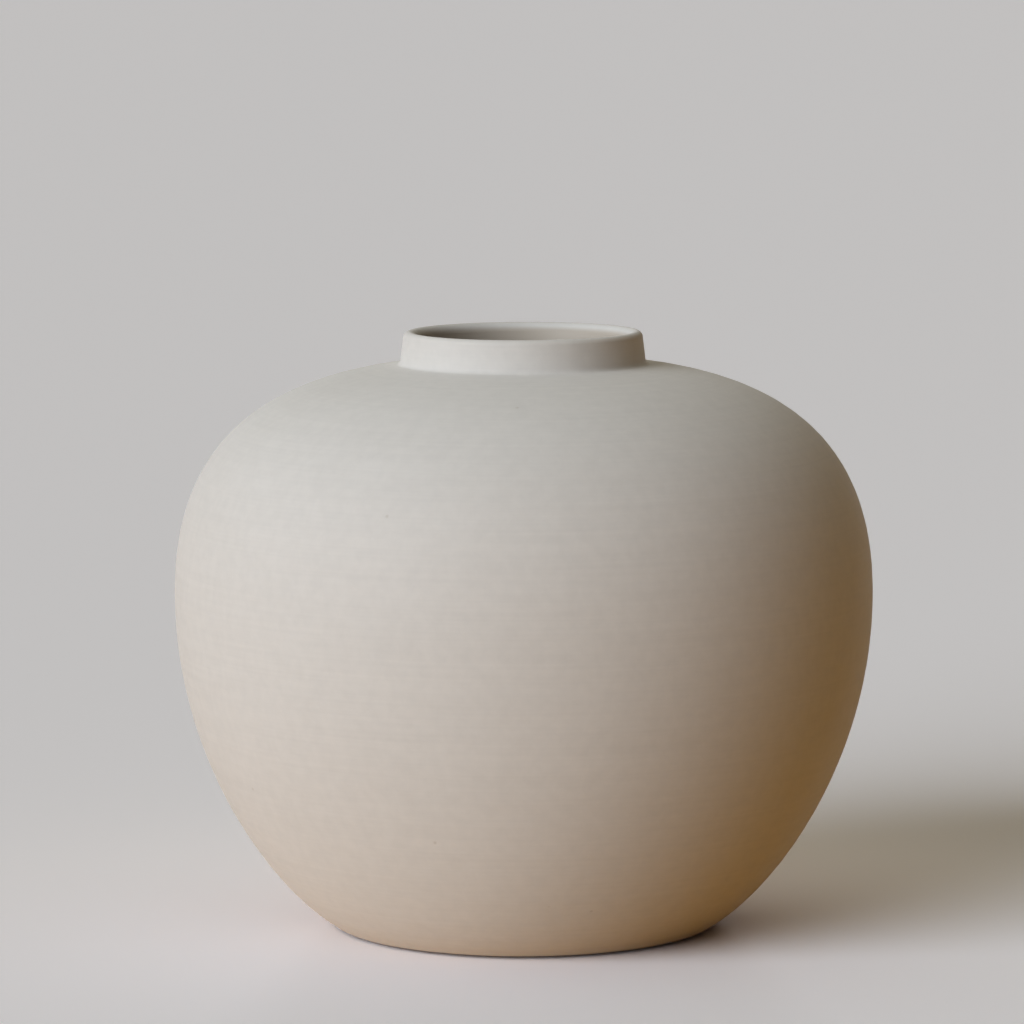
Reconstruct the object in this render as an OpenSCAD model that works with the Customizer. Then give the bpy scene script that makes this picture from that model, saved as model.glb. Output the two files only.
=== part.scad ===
// Ceramic vase: a broad round jar with a short neck, in the pieces that a potter joins.
// Two thrown bowls meet at the belly, and a collar and a foot ring are set into them.
// Every piece is turned about Z. Millimetres, +Z up, origin on the table under the foot.

/* [Body] */
// Widest diameter, at the belly
body_d = 250; // [235:1:280]
// Full height, from the table to the top of the lip
total_h = 214; // [206:1:240]
// Height of the widest ring above the table
belly_h = 120.3; // [110:0.1:130]
// Diameter of the lower edge, where the wall turns under the body
base_d = 137.4; // [134:0.1:150]
// Slope of the wall where it leaves the lower edge, in degrees from level
base_slope = 31.3; // [26:0.1:38]
// Rounding of the lower edge
base_round = 2; // [1.2:0.1:3]

/* [Shoulder] */
// Fall of the shoulder where it reaches the fillet of the neck, in degrees from level
shoulder_slope = 6.7; // [4:0.1:9]

/* [Neck] */
// Height of the neck, from the end of the shoulder to the top of the lip
neck_h = 11.9; // [10:0.1:20]
// Clear diameter of the mouth
mouth_d = 75; // [70:0.1:78]
// Lean of the outside of the neck, in degrees from upright
neck_lean = 6.8; // [3:0.1:9]
// Height that the fillet at the foot of the neck takes on the neck
neck_fillet_h = 2; // [1.2:0.1:4]
// Width that the same fillet takes on the shoulder
neck_fillet_w = 1.8; // [1.2:0.1:4]
// Rounding of the lip on the outside
lip_outer_round = 2.2; // [1.6:0.1:3]
// Rounding of the lip on the inside
lip_inner_round = 3.1; // [2:0.1:3.6]
// Rounding of the edge under the neck, inside
throat_round = 2.5; // [1.5:0.1:2.8]

/* [Clay] */
// Thickness of the thrown wall, from the belly up
wall_t = 5.2; // [4.8:0.1:6.5]
// Thickness of the floor
floor_t = 6.5; // [5:0.1:9]
// Diameter of the level part of the floor, inside
floor_d = 108; // [90:1:114]
// Thickness of the glaze, inside and out
glaze_t = 0.4; // [0.2:0.05:0.6]

/* [Foot] */
// Outer diameter of the foot ring
foot_d = 128; // [120:0.5:130]
// Width of the foot ring
foot_w = 9; // [6:0.5:12]
// Gap between the table and the lower edge of the body
foot_gap = 1.1; // [0.8:0.1:3]
// Depth to which the foot ring is let into the base
foot_seat = 1; // [0.6:0.1:2]
// Rounding of the two lower edges of the foot ring
foot_round = 0.8; // [0.4:0.1:1.2]
// Diameter of the dish turned into the underside
dish_d = 100; // [60:1:103]
// Depth of that dish
dish_depth = 2; // [1:0.1:3]

/* [Joints] */
// Thickness of the slip, the liquid clay that bonds two pieces
slip_t = 0.4; // [0.2:0.05:0.6]
// Height of the tongue on the rim of the lower bowl
tongue_h = 4; // [2:0.1:6]
// Thickness of the tongue
tongue_t = 2.4; // [1.8:0.1:2.8]
// Thickness of the spigot of the collar, which drops into the upper bowl
spigot_t = 3.4; // [3:0.1:4]
// Width of the foot of the collar outside the fillet
collar_ledge_w = 1; // [0.5:0.1:2]
// Depth to which the collar is let into the upper bowl
collar_seat = 2.2; // [1.5:0.1:3]

/* [Hidden] */
$fn = 180;

// How far each curve is drawn towards the tangent at its end, as a share of its rise or its width
belly_low_share = 0.495;
base_share = 0.478;
belly_high_share = 0.527;
shoulder_share = 0.756;
fillet_share = 0.69;
inner_belly_share = 0.5;
inner_floor_share = 0.45;

// Steps along a long curve, along a fillet and around a rounded edge
curve_steps = 48;
fillet_steps = 12;
edge_steps = 8;

body_r = body_d / 2;
base_r = base_d / 2;
mouth_r = mouth_d / 2;

belly = [body_r, belly_h];

// Lower edge: an arc that is tangent to the underside and to the wall
base_tangent = base_round * tan(base_slope / 2);
base_centre = [base_r - base_tangent, foot_gap + base_round];
wall_run = [cos(base_slope), sin(base_slope)];
wall_start = [base_r, foot_gap] + base_tangent * wall_run;
wall_pull = wall_start + base_share * (body_r - base_r) * wall_run;
belly_low_pull = belly - [0, belly_low_share * (belly_h - foot_gap)];

// Lip: two arcs that meet on top
lip_r = mouth_r + lip_inner_round;
lip_outer_centre = [lip_r, total_h - lip_outer_round];
lip_inner_centre = [lip_r, total_h - lip_inner_round];

// Neck: a leaning wall from the lip down to the fillet
shoulder_h = total_h - neck_h;
neck_top = lip_outer_centre + lip_outer_round * [cos(neck_lean), sin(neck_lean)];
neck_foot_h = shoulder_h + neck_fillet_h;
neck_foot = [neck_top.x + (neck_top.y - neck_foot_h) * tan(neck_lean), neck_foot_h];

// Shoulder: from the belly to the fillet of the neck
shoulder_r = neck_foot.x + neck_fillet_w;
shoulder_end = [shoulder_r, shoulder_h];
shoulder_run = [-cos(shoulder_slope), sin(shoulder_slope)];
shoulder_pull = shoulder_end - shoulder_share * (body_r - shoulder_r) * shoulder_run;
belly_high_pull = belly + [0, belly_high_share * (shoulder_h - belly_h)];

// Fillet: it rounds the corner in which the neck would meet the shoulder
corner_drop = (neck_fillet_h - neck_fillet_w * tan(shoulder_slope))
    / (1 - tan(shoulder_slope) * tan(neck_lean));
neck_corner = neck_foot + corner_drop * [tan(neck_lean), -1];
fillet_low_pull = shoulder_end + fillet_share * (neck_corner - shoulder_end);
fillet_high_pull = neck_foot + fillet_share * (neck_corner - neck_foot);

// Inside of the clay: the floor, the wall of the lower bowl and the throat under the neck
base_h = foot_gap + glaze_t;
dish_h = base_h + dish_depth;
floor_h = dish_h + floor_t;
inner_r = body_r - glaze_t - wall_t;
floor_end = [floor_d / 2, floor_h];
floor_pull = floor_end + [inner_floor_share * (inner_r - floor_end.x), 0];
inner_belly = [inner_r, belly_h];
inner_belly_pull = inner_belly - [0, inner_belly_share * (belly_h - floor_h)];
under_end = shoulder_end + (glaze_t + wall_t) * turn_left(shoulder_run);
throat_r = mouth_r + glaze_t + throat_round;
under_run = (under_end.x + throat_round * sin(shoulder_slope) - throat_r) / cos(shoulder_slope);
throat_h = under_end.y + under_run * sin(shoulder_slope) + throat_round * cos(shoulder_slope);

// The two glazes meet where the mouth turns into the lip
glaze_edge_h = lip_inner_centre.y;

// Joints
tongue_r = inner_r + tongue_t;
tongue_top = belly_h + tongue_h;
spigot_r = mouth_r + glaze_t + spigot_t;
collar_r = shoulder_r + collar_ledge_w;
seat_h = shoulder_h - collar_seat;
foot_r = foot_d / 2;
foot_inner_r = foot_r - foot_w;
foot_top = base_h + foot_seat;

// Farther out than any point of the vase, for the outlines that divide it
reach = body_d + total_h;

// The direction v turned a quarter to the left, one unit long
function turn_left(v) = [-v.y, v.x] / norm(v);

function backwards(points) = [for (i = [len(points) - 1:-1:0]) points[i]];

// A point on the cubic curve from a to d, which leaves a towards b and reaches d from c
function on_curve(a, b, c, d, t) =
    pow(1 - t, 3) * a + 3 * t * pow(1 - t, 2) * b + 3 * t * t * (1 - t) * c + pow(t, 3) * d;

function along_curve(a, b, c, d, t) =
    pow(1 - t, 2) * (b - a) + 2 * t * (1 - t) * (c - b) + t * t * (d - c);

// The same curve moved to its left by depth. Its first point is left to what comes before it.
function curve(a, b, c, d, depth, steps) = [
    for (i = [1:steps])
        let (t = i / steps)
            on_curve(a, b, c, d, t) + depth * turn_left(along_curve(a, b, c, d, t))
];

function arc(centre, r, from, to, steps = edge_steps) = [
    for (i = [0:steps])
        let (a = from + (to - from) * i / steps)
            centre + r * [cos(a), sin(a)]
];

// Outside of the vase from the underside up to the inner edge of the lip, moved in by depth
function outer_line(depth) = concat(
    arc(base_centre, base_round - depth, -90, base_slope - 90),
    curve(wall_start, wall_pull, belly_low_pull, belly, depth, curve_steps),
    curve(belly, belly_high_pull, shoulder_pull, shoulder_end, depth, curve_steps),
    curve(shoulder_end, fillet_low_pull, fillet_high_pull, neck_foot, depth, fillet_steps),
    arc(lip_outer_centre, lip_outer_round - depth, neck_lean, 90),
    [for (p = arc(lip_inner_centre, lip_inner_round - depth, 90, 180)) if (p.x < lip_r) p]
);

// Inside of the clay from the middle of the floor up to the throat, moved into the hollow by depth
function inner_line(depth) = concat(
    [[0, floor_h + depth], floor_end + [0, depth]],
    curve(floor_end, floor_pull, inner_belly_pull, inner_belly, depth, curve_steps),
    curve(belly, belly_high_pull, shoulder_pull, shoulder_end, glaze_t + wall_t + depth,
        curve_steps),
    arc([throat_r, throat_h], throat_round + depth, 270 - shoulder_slope, 180)
);

// Half section of all the clay of the body and the neck, before the joints divide it
module clay() {
    polygon(concat(
        outer_line(glaze_t),
        backwards(inner_line(0)),
        [[0, dish_h], [dish_d / 2 - dish_depth, dish_h], [dish_d / 2, base_h]]
    ));
}

// Everything at or below the joint of the two bowls, raised by gap on the side of the upper bowl
module below_belly(gap) {
    polygon([
        [0, -reach],
        [reach, -reach],
        [reach, belly_h + gap],
        [tongue_r + gap, belly_h + gap],
        [tongue_r + gap, tongue_top + gap],
        [0, tongue_top + gap]
    ]);
}

// Everything that belongs to the collar, grown by gap on the side of the upper bowl
module around_collar(gap) {
    polygon([
        [0, tongue_top + gap],
        [spigot_r + gap, tongue_top + gap],
        [spigot_r + gap, seat_h - gap],
        [collar_r + gap, seat_h - gap],
        [collar_r + gap, reach],
        [0, reach]
    ]);
}

// The seat of the foot ring in the underside, grown by gap
module foot_groove(gap) {
    translate([foot_inner_r - gap, 0])
        square([foot_w + 2 * gap, foot_top + gap]);
}

module lower_bowl() {
    color("#cfc9bd")
        rotate_extrude()
            difference() {
                intersection() {
                    clay();
                    below_belly(0);
                }
                foot_groove(slip_t);
            }
}

module upper_bowl() {
    color("#d6d1c6")
        rotate_extrude()
            difference() {
                clay();
                below_belly(slip_t);
                around_collar(slip_t);
            }
}

module neck_collar() {
    color("#dcd8ce")
        rotate_extrude()
            intersection() {
                clay();
                around_collar(0);
            }
}

module foot_ring() {
    color("#c9c1b2")
        rotate_extrude()
            polygon(concat(
                arc([foot_inner_r + foot_round, foot_round], foot_round, 180, 270),
                arc([foot_r - foot_round, foot_round], foot_round, 270, 360),
                [[foot_r, foot_top], [foot_inner_r, foot_top]]
            ));
}

module belly_slip() {
    color("#b3ab9c")
        rotate_extrude()
            difference() {
                intersection() {
                    clay();
                    below_belly(slip_t);
                }
                below_belly(0);
            }
}

module neck_slip() {
    color("#b3ab9c")
        rotate_extrude()
            difference() {
                intersection() {
                    clay();
                    around_collar(slip_t);
                }
                around_collar(0);
            }
}

module foot_slip() {
    color("#b3ab9c")
        rotate_extrude()
            difference() {
                intersection() {
                    clay();
                    foot_groove(slip_t);
                }
                foot_groove(0);
            }
}

module outer_glaze() {
    color("#dedbd3")
        rotate_extrude()
            polygon(concat(
                outer_line(0),
                backwards(outer_line(glaze_t))
            ));
}

module liner_glaze() {
    color("#cfc3b2")
        rotate_extrude()
            polygon(concat(
                inner_line(0),
                [[mouth_r + glaze_t, glaze_edge_h], [mouth_r, glaze_edge_h]],
                backwards(inner_line(glaze_t))
            ));
}

lower_bowl();
upper_bowl();
neck_collar();
foot_ring();
belly_slip();
neck_slip();
foot_slip();
outer_glaze();
liner_glaze();
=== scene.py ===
import math

import bpy
from mathutils import Matrix, Vector
from mathutils.geometry import interpolate_bezier


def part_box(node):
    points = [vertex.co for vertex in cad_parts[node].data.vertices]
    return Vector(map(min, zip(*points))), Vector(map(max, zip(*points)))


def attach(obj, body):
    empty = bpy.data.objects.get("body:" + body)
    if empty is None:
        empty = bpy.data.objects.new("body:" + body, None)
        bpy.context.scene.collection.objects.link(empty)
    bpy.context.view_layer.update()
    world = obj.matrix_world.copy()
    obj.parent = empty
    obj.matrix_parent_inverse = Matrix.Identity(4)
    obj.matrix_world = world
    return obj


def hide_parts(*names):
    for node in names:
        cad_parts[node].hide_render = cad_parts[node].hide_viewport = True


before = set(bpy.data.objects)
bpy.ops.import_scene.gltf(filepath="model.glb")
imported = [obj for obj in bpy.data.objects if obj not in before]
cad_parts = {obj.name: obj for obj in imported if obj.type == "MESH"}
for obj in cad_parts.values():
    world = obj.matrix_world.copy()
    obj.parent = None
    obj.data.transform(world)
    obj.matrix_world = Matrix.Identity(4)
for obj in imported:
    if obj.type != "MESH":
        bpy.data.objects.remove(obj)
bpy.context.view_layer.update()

# A broad round ceramic jar with a short neck, on a plain pale floor.
# Metres, +Z up. Every piece is turned about Z, and outlines are (radius, height).

MM = 0.001

# Sizes that the frame gives
glaze_low, glaze_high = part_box("outer_glaze")
liner_low, liner_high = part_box("liner_glaze")
foot_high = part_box("foot_ring")[1]
BODY_R = glaze_high.x
TOTAL_H = glaze_high.z
FOOT_GAP = glaze_low.z
INNER_R = liner_high.x
FLOOR_H = liner_low.z
GLAZE_EDGE_H = liner_high.z
FOOT_R = foot_high.x
FOOT_TOP = foot_high.z

# Body
BELLY_H = 120.3 * MM
BASE_R = 68.7 * MM
BASE_SLOPE = math.radians(31.3)
BASE_ROUND = 2.0 * MM
SHOULDER_R = 45.53 * MM
SHOULDER_SLOPE = math.radians(6.7)

# Neck and lip
NECK_H = 11.9 * MM
MOUTH_R = 37.5 * MM
NECK_LEAN = math.radians(6.8)
NECK_FILLET_H = 2.0 * MM
LIP_OUTER_ROUND = 2.2 * MM
LIP_INNER_ROUND = 3.1 * MM
THROAT_ROUND = 2.5 * MM

# Clay and glaze, and the band at the lip where the two glazes melt into each other, darkened
# there as painted shade of the mouth
GLAZE_T = 0.4 * MM
WALL_T = 5.2 * MM
FLOOR_R = 54.0 * MM
FLOOR_MIDDLE_R = 1.0 * MM
MELT_AND_SHADE_W = 2.4 * MM

# Foot ring
FOOT_W = 9.0 * MM
FOOT_ROUND = 0.8 * MM

# How far each curve is drawn towards the tangent at its end, as a share of its rise or its width
BELLY_LOW_SHARE = 0.495
BASE_SHARE = 0.478
BELLY_HIGH_SHARE = 0.527
SHOULDER_SHARE = 0.756
FILLET_SHARE = 0.69
INNER_BELLY_SHARE = 0.5
INNER_FLOOR_SHARE = 0.45

# The two sets of faint rings that fingers leave on the wheel: how deep, and how far apart
THROWING_DEPTH = 0.03 * MM
THROWING_PITCHES = (11.5 * MM, 7 * MM)

# The finest lines of the wheel: how many to a metre of the wall, and how often one breaks off
WHEEL_LINES = 700
WHEEL_BREAKS = 11

# Rings along a long curve, along a fillet and around a rounded edge, and steps in a turn
CURVE_RINGS = 60
FILLET_RINGS = 12
EDGE_RINGS = 8
TURN_STEPS = 256

# Points closer than this become one, and an edge steeper than this stays sharp
MERGE_DISTANCE = MM / 100
SHARP_EDGE = math.radians(40)

# The inputs and the output of a mix node that hold colours
COLOUR_A = 6
COLOUR_B = 7
COLOUR_OUT = 2

# Most of a noise texture lies in this range
NOISE_SPAN = {"From_Min": 0.3, "From_Max": 0.7}

# How strongly glaze and fired clay bend light
CERAMIC_IOR = 1.5

# Where the camera stands, as in the photograph, and from how near to how far it sees. Its lens
# and its sensor are in millimetres.
CAMERA_LENS = 180
CAMERA_SENSOR = 36
CAMERA_SIDE = -4.11 * MM
CAMERA_BACK = 1821.5 * MM
CAMERA_HEIGHT = 363.0 * MM
CAMERA_DIP = math.radians(6.704)
CAMERA_ROLL = math.radians(-0.2)
CAMERA_NEAR = 0.05
CAMERA_FAR = 200

# So wide that its edge lies far behind the vase
FLOOR_WIDTH = 120.0


def at_angle(angle):
    """The point at this angle on a circle of radius 1."""
    return Vector((math.cos(angle), math.sin(angle)))


def bow(start, start_pull, end_pull, end, rings):
    """Points along the cubic curve from start to end, without start itself."""
    return interpolate_bezier(start, start_pull, end_pull, end, rings + 1)[1:]


def rounding(centre, radius, first, last):
    """Points around a rounded edge, from one angle to another."""
    turn = (last - first) / EDGE_RINGS
    return [centre + radius * at_angle(first + i * turn) for i in range(EDGE_RINGS + 1)]


def runs_along(line):
    """The distance of each point from the start of the outline."""
    runs = [0.0]
    for before, after in zip(line, line[1:]):
        runs.append(runs[-1] + (after - before).length)
    return runs


def moved_left(line, depths):
    """The same outline, each point moved to its left by its depth."""
    moved = []
    for i, point in enumerate(line):
        run = (line[min(i + 1, len(line) - 1)] - line[max(i - 1, 0)]).normalized()
        moved.append(point + depths[i] * Vector((-run.y, run.x)))
    return moved


def thrown(line):
    """The same outline with the faint rings of throwing, which only go inwards."""
    depths = []
    for run in runs_along(line):
        waves = [math.sin(math.pi * run / pitch) ** 2 for pitch in THROWING_PITCHES]
        depths.append(THROWING_DEPTH * sum(waves))
    return moved_left(line, depths)


def wall_line():
    """The lower edge and the wall, from the underside up to the belly."""
    tangent = BASE_ROUND * math.tan(BASE_SLOPE / 2)
    run = at_angle(BASE_SLOPE)
    centre = Vector((BASE_R - tangent, FOOT_GAP + BASE_ROUND))
    start = Vector((BASE_R, FOOT_GAP)) + tangent * run
    belly = Vector((BODY_R, BELLY_H))
    start_pull = start + BASE_SHARE * (BODY_R - BASE_R) * run
    belly_pull = belly - Vector((0, BELLY_LOW_SHARE * (BELLY_H - FOOT_GAP)))
    edge = rounding(centre, BASE_ROUND, -math.pi / 2, BASE_SLOPE - math.pi / 2)
    return edge + bow(start, start_pull, belly_pull, belly, CURVE_RINGS)


def shoulder_line():
    """The shoulder from the belly to where the fillet of the neck begins."""
    belly = Vector((BODY_R, BELLY_H))
    end = Vector((SHOULDER_R, TOTAL_H - NECK_H))
    run = Vector((-math.cos(SHOULDER_SLOPE), math.sin(SHOULDER_SLOPE)))
    belly_pull = belly + Vector((0, BELLY_HIGH_SHARE * (end.y - BELLY_H)))
    end_pull = end - SHOULDER_SHARE * (BODY_R - SHOULDER_R) * run
    return bow(belly, belly_pull, end_pull, end, CURVE_RINGS)


def neck_line():
    """The fillet, the leaning neck and the lip, over to its inner edge."""
    shoulder_end = Vector((SHOULDER_R, TOTAL_H - NECK_H))
    lip_r = MOUTH_R + LIP_INNER_ROUND
    outer_centre = Vector((lip_r, TOTAL_H - LIP_OUTER_ROUND))
    inner_centre = Vector((lip_r, TOTAL_H - LIP_INNER_ROUND))
    neck_top = outer_centre + LIP_OUTER_ROUND * at_angle(NECK_LEAN)
    lean = math.tan(NECK_LEAN)
    fall = math.tan(SHOULDER_SLOPE)
    foot_h = shoulder_end.y + NECK_FILLET_H
    neck_foot = Vector((neck_top.x + (neck_top.y - foot_h) * lean, foot_h))
    drop = (NECK_FILLET_H - (SHOULDER_R - neck_foot.x) * fall) / (1 - fall * lean)
    corner = neck_foot + drop * Vector((lean, -1))
    fillet = bow(shoulder_end, shoulder_end.lerp(corner, FILLET_SHARE),
                 neck_foot.lerp(corner, FILLET_SHARE), neck_foot, FILLET_RINGS)
    lip = rounding(outer_centre, LIP_OUTER_ROUND, NECK_LEAN, math.pi / 2)
    inside = rounding(inner_centre, LIP_INNER_ROUND, math.pi / 2, math.pi)[1:]
    return fillet + lip + inside


def hollow_line():
    """The inside of the clay, from the middle of the floor up the throat to the lip."""
    floor_end = Vector((FLOOR_R, FLOOR_H))
    belly = Vector((INNER_R, BELLY_H))
    floor_pull = floor_end + Vector((INNER_FLOOR_SHARE * (INNER_R - FLOOR_R), 0))
    belly_pull = belly - Vector((0, INNER_BELLY_SHARE * (BELLY_H - FLOOR_H)))
    floor = [Vector((FLOOR_MIDDLE_R, FLOOR_H)), Vector((FLOOR_R / 2, FLOOR_H)), floor_end]
    wall = bow(floor_end, floor_pull, belly_pull, belly, CURVE_RINGS)
    outside = shoulder_line()
    shoulder = moved_left(outside, [GLAZE_T + WALL_T] * len(outside))
    throat_r = MOUTH_R + GLAZE_T + THROAT_ROUND
    rise = math.sin(SHOULDER_SLOPE)
    level = math.cos(SHOULDER_SLOPE)
    under_run = (shoulder[-1].x + THROAT_ROUND * rise - throat_r) / level
    throat_h = shoulder[-1].y + under_run * rise + THROAT_ROUND * level
    throat = rounding(Vector((throat_r, throat_h)), THROAT_ROUND,
                      3 * math.pi / 2 - SHOULDER_SLOPE, math.pi)
    return floor + wall + shoulder + throat + [Vector((MOUTH_R + GLAZE_T, GLAZE_EDGE_H))]


def foot_line():
    """The foot ring, round its whole section and back to its first point."""
    inner_r = FOOT_R - FOOT_W
    inside = rounding(Vector((inner_r + FOOT_ROUND, FOOT_ROUND)), FOOT_ROUND,
                      math.pi, 3 * math.pi / 2)
    outside = rounding(Vector((FOOT_R - FOOT_ROUND, FOOT_ROUND)), FOOT_ROUND,
                       -math.pi / 2, 0)
    return inside + outside + [Vector((FOOT_R, FOOT_TOP)), Vector((inner_r, FOOT_TOP)), inside[0]]


def pulled_up(name, line, closed_start=False):
    """A sheet pulled up from a ring, ring by ring, along its half outline. Each point keeps how
    far the outline has run there, as wheel_run."""
    bpy.ops.object.select_all(action="DESELECT")
    radius, height = line[0]
    bpy.ops.mesh.primitive_circle_add(vertices=TURN_STEPS, radius=radius,
                                      location=(0, 0, height))
    piece = bpy.context.object
    piece.name = piece.data.name = name
    bpy.ops.object.transform_apply(location=True, rotation=True, scale=True)
    bpy.ops.object.mode_set(mode="EDIT")
    bpy.ops.mesh.select_all(action="SELECT")
    if closed_start:
        bpy.ops.mesh.edge_face_add()
    for next_radius, next_height in line[1:]:
        bpy.ops.mesh.extrude_edges_move(
            TRANSFORM_OT_translate={"value": (0, 0, next_height - height)})
        widening = next_radius / radius
        bpy.ops.transform.resize(value=(widening, widening, 1),
                                 center_override=(0, 0, next_height))
        radius, height = next_radius, next_height
    bpy.ops.object.mode_set(mode="OBJECT")
    marks = piece.data.attributes.new("wheel_run", "FLOAT", "POINT")
    marks.data.foreach_set("value", [run for run in runs_along(line) for _ in range(TURN_STEPS)])
    bpy.ops.object.mode_set(mode="EDIT")
    bpy.ops.mesh.select_all(action="SELECT")
    bpy.ops.mesh.remove_doubles(threshold=MERGE_DISTANCE)
    bpy.ops.mesh.normals_make_consistent(inside=False)
    bpy.ops.object.mode_set(mode="OBJECT")
    return piece


def coated(piece, thickness):
    """The sheet gets its thickness, away from the side that its faces look to."""
    layer = piece.modifiers.new("thickness", "SOLIDIFY")
    layer.thickness = thickness
    layer.offset = -1
    layer.use_even_offset = True
    bpy.ops.object.modifier_apply(modifier=layer.name)


def linear(code):
    """The linear colour of an sRGB hex value."""
    channels = [int(code[i:i + 2], 16) / 255 for i in (1, 3, 5)]
    return [c / 12.92 if c <= 0.04045 else ((c + 0.055) / 1.055) ** 2.4
            for c in channels] + [1.0]


def add(tree, kind, links=(), **settings):
    """Adds a node. Settings name its properties, or its inputs with a number or a colour,
    and links are pairs of an input's name or index and the output that goes into it."""
    node = tree.nodes.new(kind)
    for name, value in settings.items():
        if hasattr(node, name):
            setattr(node, name, value)
        else:
            node.inputs[name.replace("_", " ")].default_value = value
    for name, output in links:
        tree.links.new(output, node.inputs[name])
    return node


def mixed(tree, share, first, second):
    """The colour between first, a hex value or another node's output, and second, a hex value."""
    mix = add(tree, "ShaderNodeMix", [("Factor", share)], data_type="RGBA")
    if isinstance(first, str):
        mix.inputs[COLOUR_A].default_value = linear(first)
    else:
        tree.links.new(first, mix.inputs[COLOUR_A])
    mix.inputs[COLOUR_B].default_value = linear(second)
    return mix.outputs[COLOUR_OUT]


def new_material(name):
    """A material, its nodes and the node of its surface."""
    material = bpy.data.materials.new(name)
    material.use_nodes = True
    tree = material.node_tree
    return material, tree, tree.nodes["Principled BSDF"]


def wheel_lines(tree, place, run):
    """Fine lines of the wheel, 1.4 mm apart and 90 mm long, which the glaze half hides."""
    along = add(tree, "ShaderNodeVectorMath", [(0, place)], operation="MULTIPLY")
    along.inputs[1].default_value = (WHEEL_BREAKS, WHEEL_BREAKS, 0)
    across = add(tree, "ShaderNodeMath", [(0, run)], operation="MULTIPLY")
    across.inputs[1].default_value = WHEEL_LINES
    upright = add(tree, "ShaderNodeCombineXYZ", [("Z", across.outputs[0])])
    both = add(tree, "ShaderNodeVectorMath",
               [(0, along.outputs[0]), (1, upright.outputs[0])], operation="ADD")
    return add(tree, "ShaderNodeTexNoise", [("Vector", both.outputs[0])],
               Scale=1, Detail=3, Roughness=0.6).outputs[0]


def sprayed_matt_glaze(lip_run):
    """Matt stoneware glaze, sprayed thin over a sponged wall: dry and chalky to the eye, with a
    soft mottle, a few dimples where a bubble broke, and no clear reflection. It melts into the
    liner glaze where the outline has run to the inner edge of the lip, and there it is a darker
    beige as painted shade of the mouth."""
    material, tree, surface = new_material("sprayed_matt_stoneware_glaze")
    place = add(tree, "ShaderNodeTexCoord").outputs["Object"]
    run = add(tree, "ShaderNodeAttribute", attribute_name="wheel_run").outputs["Fac"]
    # Clouds of thicker and thinner glaze, 70 mm across
    clouds = add(tree, "ShaderNodeTexNoise", [("Vector", place)],
                 Scale=14, Detail=2, Roughness=0.5).outputs[0]
    # The mottle of the spray, 4.5 mm across
    mottle = add(tree, "ShaderNodeTexNoise", [("Vector", place)],
                 Scale=220, Detail=2, Roughness=0.55).outputs[0]
    wheel = wheel_lines(tree, place, run)
    # Healed pinholes, soft dimples up to 1.6 mm across, about one to 40 square centimetres
    cells = add(tree, "ShaderNodeTexVoronoi", [("Vector", place)], Scale=55)
    pinholes = add(tree, "ShaderNodeMapRange", [("Value", cells.outputs["Distance"])],
                   From_Min=0.012, From_Max=0.045, To_Min=1, To_Max=0).outputs[0]

    # Colour: clouds, then the marks of spray and wheel, then the liner glaze at the lip, whose
    # darker beige is painted shade of the mouth
    tone = mixed(tree, clouds, "#DAD6D0", "#D5D0C9")
    mottled = add(tree, "ShaderNodeMapRange", [("Value", mottle)],
                  To_Min=0.975, To_Max=1.02, **NOISE_SPAN)
    lined = add(tree, "ShaderNodeMapRange", [("Value", wheel)],
                To_Min=0.98, To_Max=1.015, **NOISE_SPAN)
    marks = add(tree, "ShaderNodeMath",
                [(0, mottled.outputs[0]), (1, lined.outputs[0])], operation="MULTIPLY")
    marked = add(tree, "ShaderNodeVectorMath",
                 [(0, tone), ("Scale", marks.outputs[0])], operation="SCALE")
    # The inner edge of the lip takes a darker beige, which is painted shade of the mouth where
    # the two glazes meet
    melt_and_painted_shade = add(tree, "ShaderNodeMapRange", [("Value", run)], interpolation_type="SMOOTHSTEP",
               From_Min=lip_run - MELT_AND_SHADE_W, From_Max=lip_run)
    melted_and_shaded = mixed(tree, melt_and_painted_shade.outputs[0], marked.outputs[0], "#C4B8A9")
    pitted = mixed(tree, pinholes, melted_and_shaded, "#CAC3BA")
    tree.links.new(pitted, surface.inputs["Base Color"])

    # Dryness
    dryness = add(tree, "ShaderNodeMapRange", [("Value", mottle)],
                  To_Min=0.68, To_Max=0.72, **NOISE_SPAN)
    tree.links.new(dryness.outputs[0], surface.inputs["Roughness"])
    surface.inputs["IOR"].default_value = CERAMIC_IOR
    surface.inputs["Diffuse Roughness"].default_value = 0.3

    # Relief: the peel of the spray, the lines of the wheel and the dimples
    peel = add(tree, "ShaderNodeBump", [("Height", mottle)],
               Strength=1, Distance=0.012 * MM)
    lines = add(tree, "ShaderNodeBump", [("Height", wheel), ("Normal", peel.outputs[0])],
                Strength=1, Distance=0.008 * MM)
    holes = add(tree, "ShaderNodeBump", [("Height", pinholes), ("Normal", lines.outputs[0])],
                Strength=1, Distance=0.04 * MM, invert=True)
    tree.links.new(holes.outputs[0], surface.inputs["Normal"])
    return material


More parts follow.
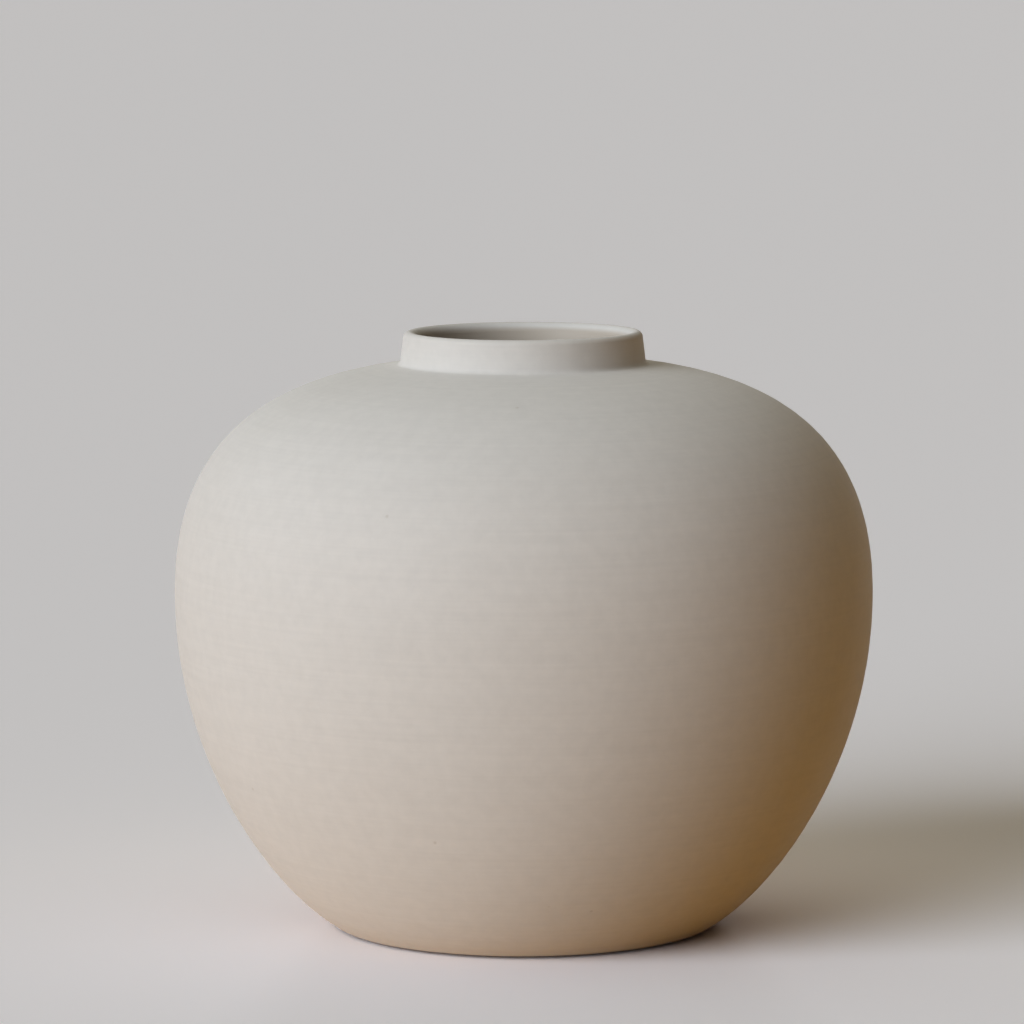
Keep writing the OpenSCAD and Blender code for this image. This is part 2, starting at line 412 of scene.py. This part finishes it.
def poured_liner_glaze():
    """Satin liner glaze, poured in and out: smoother than the outside, with a soft shine and
    slow waves where it ran. Its beige, darker than the outside glaze, is painted shade of the
    hollow."""
    material, tree, surface = new_material("poured_satin_liner_glaze")
    place = add(tree, "ShaderNodeTexCoord").outputs["Object"]
    # Waves 22 mm long
    waves = add(tree, "ShaderNodeTexNoise", [("Vector", place)],
                Scale=45, Detail=2, Roughness=0.5).outputs[0]
    # The two beiges, darker than the outside glaze, are painted shade of the hollow
    tone = mixed(tree, waves, "#C8BCAE", "#BFB2A1")
    tree.links.new(tone, surface.inputs["Base Color"])
    shine = add(tree, "ShaderNodeMapRange", [("Value", waves)],
                To_Min=0.3, To_Max=0.42, **NOISE_SPAN)
    tree.links.new(shine.outputs[0], surface.inputs["Roughness"])
    surface.inputs["IOR"].default_value = CERAMIC_IOR
    ran = add(tree, "ShaderNodeBump", [("Height", waves)],
              Strength=1, Distance=0.15 * MM)
    tree.links.new(ran.outputs[0], surface.inputs["Normal"])
    return material


def bare_stoneware(name, light, dark, ring_depth):
    """Unglazed stoneware, turned on the wheel and fired: dry and warm, with specks of grog and
    rings where the turning tool cut."""
    material, tree, surface = new_material(name)
    place = add(tree, "ShaderNodeTexCoord").outputs["Object"]
    # The grain of the clay, 2 mm and finer
    clay = add(tree, "ShaderNodeTexNoise", [("Vector", place)],
               Scale=500, Detail=4, Roughness=0.65).outputs[0]
    # Cuts of the turning tool, 1.6 mm apart
    cuts = add(tree, "ShaderNodeTexWave", [("Vector", place)], wave_type="RINGS",
               rings_direction="Z", Scale=196, Distortion=1.5, Detail=3, Detail_Scale=0.4)
    # Grains of grog, up to 1 mm across
    grog = add(tree, "ShaderNodeTexVoronoi", [("Vector", place)], Scale=420)
    grains = add(tree, "ShaderNodeMapRange", [("Value", grog.outputs["Distance"])],
                 From_Min=0.1, From_Max=0.22, To_Min=1, To_Max=0)
    tone = mixed(tree, clay, light, dark)
    speckled = mixed(tree, grains.outputs[0], tone, "#8F7B61")
    tree.links.new(speckled, surface.inputs["Base Color"])
    surface.inputs["Roughness"].default_value = 0.85
    surface.inputs["IOR"].default_value = CERAMIC_IOR
    surface.inputs["Diffuse Roughness"].default_value = 0.6
    grain_bump = add(tree, "ShaderNodeBump", [("Height", clay)],
                     Strength=1, Distance=0.1 * MM)
    rings = add(tree, "ShaderNodeBump",
                [("Height", cuts.outputs[0]), ("Normal", grain_bump.outputs[0])],
                Strength=1, Distance=ring_depth)
    tree.links.new(rings.outputs[0], surface.inputs["Normal"])
    return material


def seen_directly(tree):
    """1 for what the eye sees straight, in a reflection or through glass, else 0."""
    path = add(tree, "ShaderNodeLightPath")
    straight = add(tree, "ShaderNodeMath", [(0, path.outputs["Is Camera Ray"]),
                                            (1, path.outputs["Is Glossy Ray"])],
                   operation="MAXIMUM")
    return add(tree, "ShaderNodeMath", [(0, straight.outputs[0]),
                                        (1, path.outputs["Is Transmission Ray"])],
               operation="MAXIMUM").outputs[0]


def plain_floor():
    """A wide plain floor, pale to the eye, which throws back the brown light of a wooden top."""
    bpy.ops.object.select_all(action="DESELECT")
    bpy.ops.mesh.primitive_plane_add(size=FLOOR_WIDTH)
    floor = bpy.context.object
    floor.name = "floor"
    material, tree, surface = new_material("plain_floor")
    tree.nodes.remove(surface)
    brown = add(tree, "ShaderNodeBsdfDiffuse", Color=linear("#D7A045"))
    # The pale colour counts twice, so that the floor is as bright as the room behind it
    pale = add(tree, "ShaderNodeBsdfDiffuse", Color=linear("#C5C3C6"))
    pale_floor = add(tree, "ShaderNodeAddShader", [(0, pale.outputs[0]), (1, pale.outputs[0])])
    floor_look = add(tree, "ShaderNodeMixShader",
                     [("Fac", seen_directly(tree)), (1, brown.outputs[0]),
                      (2, pale_floor.outputs[0])])
    tree.links.new(floor_look.outputs[0], tree.nodes["Material Output"].inputs["Surface"])
    floor.data.materials.append(material)


def room():
    """Weak even light from all round, and the colour of the lit floor to the eye."""
    world = bpy.data.worlds.new("room")
    world.use_nodes = True
    tree = world.node_tree
    light = tree.nodes["Background"]
    light.inputs["Color"].default_value = linear("#E8C9B0")
    light.inputs["Strength"].default_value = 0.035
    distance = add(tree, "ShaderNodeBackground", Color=linear("#BFBDB9"), Strength=1)
    look = add(tree, "ShaderNodeMixShader",
               [("Fac", seen_directly(tree)), (1, light.outputs[0]), (2, distance.outputs[0])])
    tree.links.new(look.outputs[0], tree.nodes["World Output"].inputs["Surface"])
    bpy.context.scene.world = world


def lamp(name, azimuth, elevation, spread, strength, colour):
    """A large soft lamp far away, its angles in degrees. Azimuth 0 is behind the camera, and
    positive to its right."""
    across = math.cos(math.radians(elevation))
    towards = Vector((across * math.sin(math.radians(azimuth)),
                      -across * math.cos(math.radians(azimuth)),
                      math.sin(math.radians(elevation))))
    bpy.ops.object.light_add(type="SUN", rotation=towards.to_track_quat("Z", "Y").to_euler())
    light = bpy.context.object
    light.name = light.data.name = name
    light.data.angle = math.radians(spread)
    light.data.energy = strength
    light.data.color = colour
    return light


def camera():
    """The camera that took the photograph, rolled first and then dipped."""
    turn = (Matrix.Rotation(math.pi / 2 - CAMERA_DIP, 4, "X")
            @ Matrix.Rotation(CAMERA_ROLL, 4, "Z"))
    bpy.ops.object.camera_add(location=(CAMERA_SIDE, -CAMERA_BACK, CAMERA_HEIGHT),
                              rotation=turn.to_euler())
    eye = bpy.context.object
    eye.data.lens = CAMERA_LENS
    eye.data.sensor_width = CAMERA_SENSOR
    eye.data.clip_start = CAMERA_NEAR
    eye.data.clip_end = CAMERA_FAR
    bpy.context.scene.camera = eye


# The matt coat, from the lower edge up the wall and over the lip
outside_line = thrown(wall_line() + shoulder_line() + neck_line())
outer_coat = pulled_up("outer_coat", outside_line)
coated(outer_coat, GLAZE_T)
bpy.ops.object.shade_smooth_by_angle(angle=SHARP_EDGE)
outer_coat.data.materials.append(sprayed_matt_glaze(runs_along(outside_line)[-1]))
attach(outer_coat, "root")
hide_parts("outer_glaze")

# The liner, from the floor up to the lip
inner_coat = pulled_up("inner_coat", hollow_line(), closed_start=True)
coated(inner_coat, GLAZE_T)
bpy.ops.object.shade_smooth_by_angle(angle=SHARP_EDGE)
inner_coat.data.materials.append(poured_liner_glaze())
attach(inner_coat, "root")
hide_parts("liner_glaze")

# The foot ring, sponged smooth
standing_ring = pulled_up("standing_ring", foot_line())
bpy.ops.object.shade_smooth_by_angle(angle=SHARP_EDGE)
standing_ring.data.materials.append(
    bare_stoneware("sponged_stoneware", light="#C4B298", dark="#AD9878", ring_depth=0.02 * MM))
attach(standing_ring, "root")
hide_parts("foot_ring")

# The clay under the glaze and the slip in its joints keep the frame's own shapes
turned_clay = bare_stoneware("turned_stoneware", light="#CBBDA6", dark="#B5A389",
                             ring_depth=0.08 * MM)
wiped_slip = bare_stoneware("wiped_slip", light="#B3A388", dark="#9F8D70", ring_depth=0)
for name, finish in (("lower_bowl", turned_clay), ("upper_bowl", turned_clay),
                     ("neck_collar", turned_clay), ("belly_slip", wiped_slip),
                     ("neck_slip", wiped_slip), ("foot_slip", wiped_slip)):
    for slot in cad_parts[name].material_slots:
        slot.material = finish

# Daylight from the left, as in the photograph, warm light from above and a low lamp behind
plain_floor()
room()
lamp("key", azimuth=-47, elevation=17, spread=48, strength=3.34, colour=(0.848, 0.918, 1.0))
lamp("top", azimuth=165, elevation=70, spread=90, strength=0.52, colour=(1.0, 0.90, 0.63))
back = lamp("back", azimuth=180, elevation=4, spread=12, strength=1.4, colour=(0.94, 0.97, 1.0))
# In reflections it would only draw a bright line along the shoulder
back.visible_glossy = False
camera()

bpy.context.scene.view_settings.view_transform = "Standard"
